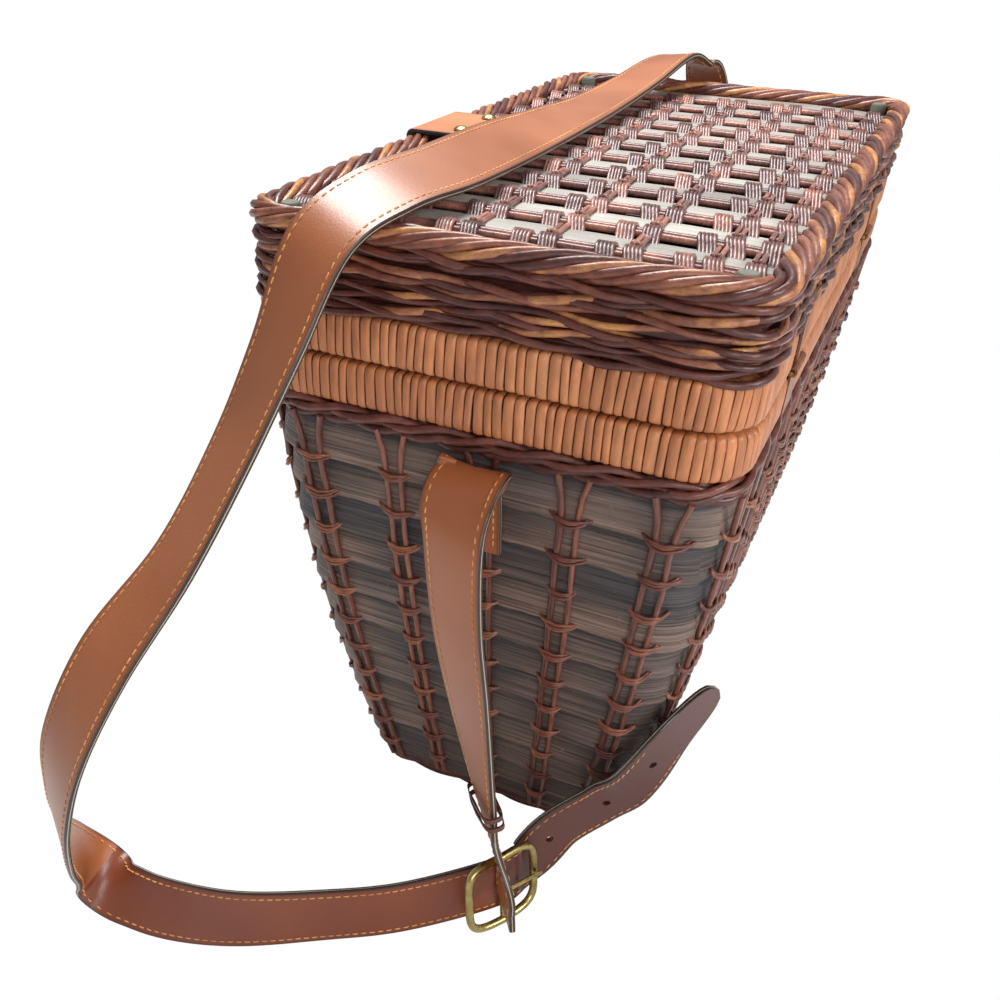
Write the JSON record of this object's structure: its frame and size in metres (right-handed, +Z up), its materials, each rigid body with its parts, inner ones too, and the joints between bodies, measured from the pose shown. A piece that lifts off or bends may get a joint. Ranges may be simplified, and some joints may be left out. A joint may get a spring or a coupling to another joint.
{
  "type": "picnic basket",
  "caption": "Wicker picnic basket with a hinged lid, cane wound rims, small buckled closures and a leather shoulder strap.",
  "frame": {"origin": "centre of the foot, on the surface the basket stands on", "axes": "+Z up; +Y from the near end with the buckle strap to the far end; +X from the front with the closures to the hinges"},
  "size_m": [0.2766, 0.585, 0.3538],
  "materials": {
    "willow": "varnished dark willow rods",
    "slat_wood": "flat stained wood slats",
    "cane": "flat cane, satin",
    "leather": "smooth tan leather with orange stitching",
    "brass": "antique brass"
  },
  "bodies": {
    "root": {"base_panel": "slat_wood", "foot_border": "willow", "wall_slat_01": "slat_wood", "wall_slat_02": "slat_wood", "wall_slat_03": "slat_wood", "wall_slat_04": "slat_wood", "wall_slat_05": "slat_wood", "wall_slat_06": "slat_wood", "wall_slat_07": "slat_wood", "wall_slat_08": "slat_wood", "wall_slat_09": "slat_wood", "wall_slat_10": "slat_wood", "wall_slat_11": "slat_wood", "wall_slat_12": "slat_wood", "stakes_near_end": "willow", "stakes_far_end": "willow", "stakes_front": "willow", "stakes_back": "willow", "under_rim_border": "willow", "tub_rim_hoop": "slat_wood", "tub_rim_winding": "cane", "tub_rim_winding_back": "cane", "hinge_pin_near": "brass", "hinge_pin_far": "brass", "tub_hinge_loop_near": "cane", "tub_hinge_loop_far": "cane", "closure_strap_near": "leather", "closure_strap_far": "leather", "closure_strap_rivet_near": "brass", "closure_strap_rivet_far": "brass", "shoulder_strap": "leather", "buckle_strap": "leather", "buckle_frame": "brass", "strap_keeper": "leather", "end_rivet_near_1": "brass", "end_rivet_near_2": "brass", "end_rivet_far_1": "brass", "end_rivet_far_2": "brass"},
    "lid": {"lid_rim_hoop": "slat_wood", "lid_rim_winding": "cane", "lid_rim_winding_back": "cane", "lid_wall": "willow", "lid_border": "willow", "lid_slat_panel": "slat_wood", "lid_rods": "willow", "lifting_tab": "leather", "lifting_tab_rivet_near": "brass", "lifting_tab_rivet_far": "brass", "lid_hinge_loop_near": "cane", "lid_hinge_loop_far": "cane", "closure_tab_near": "leather", "closure_tab_far": "leather", "closure_tab_rivet_near": "brass", "closure_tab_rivet_far": "brass", "closure_buckle_near": "brass", "closure_buckle_far": "brass"},
    "buckle_prong": {"buckle_prong": "brass"},
    "closure_prong_near": {"closure_prong_near": "brass"},
    "closure_prong_far": {"closure_prong_far": "brass"}
  },
  "joints": [
    {"name": "lid_hinge", "type": "hinge", "parent": "root", "child": "lid", "pos_m": [0.1105, 0, 0.2766], "axis": [0, 1, 0], "range_deg": [0, 100], "deforming": ["shoulder_strap"]},
    {"name": "buckle_prong_hinge", "type": "hinge", "parent": "root", "child": "buckle_prong", "pos_m": [0.0431, -0.23334, 0.02303], "axis": [0.1393, -0.0773, -0.9872], "range_deg": [0, 100]},
    {"name": "closure_prong_near_hinge", "type": "hinge", "parent": "lid", "child": "closure_prong_near", "pos_m": [-0.1146, -0.172, 0.30387], "axis": [0, 1, 0], "range_deg": [0, 100]},
    {"name": "closure_prong_far_hinge", "type": "hinge", "parent": "lid", "child": "closure_prong_far", "pos_m": [-0.1146, 0.172, 0.30387], "axis": [0, 1, 0], "range_deg": [0, 100]}
  ]
}
